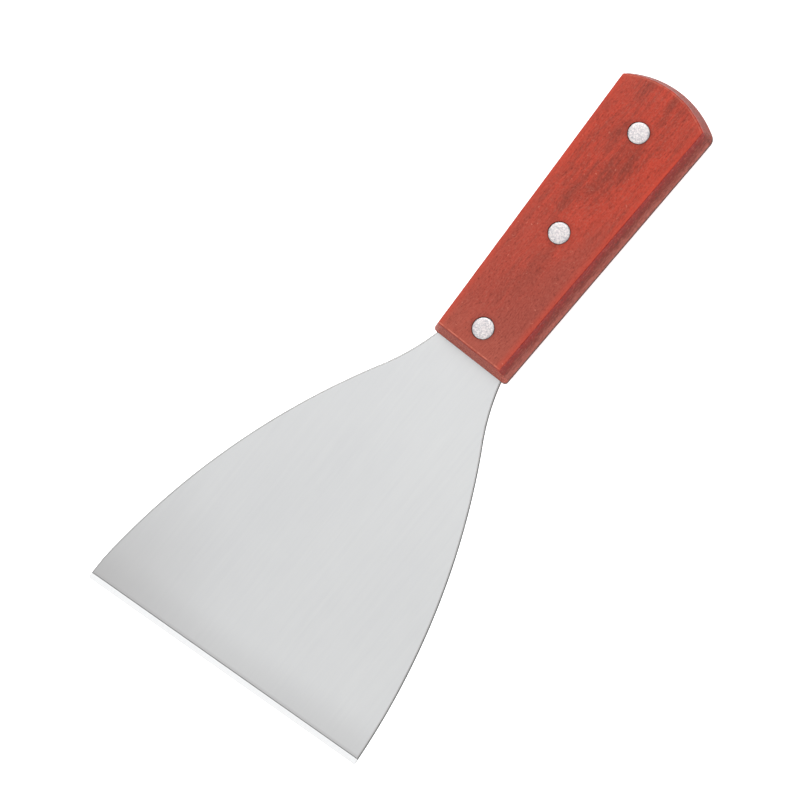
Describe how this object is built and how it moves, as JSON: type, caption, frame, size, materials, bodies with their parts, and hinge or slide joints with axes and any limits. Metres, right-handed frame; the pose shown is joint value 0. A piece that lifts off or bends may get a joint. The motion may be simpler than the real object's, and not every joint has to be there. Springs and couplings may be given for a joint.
{
  "type": "drywall taping knife",
  "caption": "Hand tool with a flared flat steel blade, ground at its wide straight edge, and a tapered full-tang wooden handle fastened by flush rivets.",
  "frame": {"origin": "middle of the knife's length and width, at the level of the back scale's flat outer face", "axes": "+Y along the knife from the cutting edge to the butt of the handle, +X across the blade, +Z square to the blade through the front scale"},
  "size_m": [0.1016, 0.2272, 0.017],
  "materials": {
    "steel": "fine satin brushing along the blade, bright ground bevel",
    "wood": "red-dyed open-pored hardwood, thin satin lacquer",
    "rivet_metal": "sanded flush, dull and mottled"
  },
  "bodies": {
    "root": {"blade": "steel", "front_scale": "wood", "back_scale": "wood", "rivet_pin_front": "rivet_metal", "rivet_pin_middle": "rivet_metal", "rivet_pin_rear": "rivet_metal", "rivet_sleeve_front": "rivet_metal", "rivet_sleeve_middle": "rivet_metal", "rivet_sleeve_rear": "rivet_metal"}
  },
  "joints": []
}
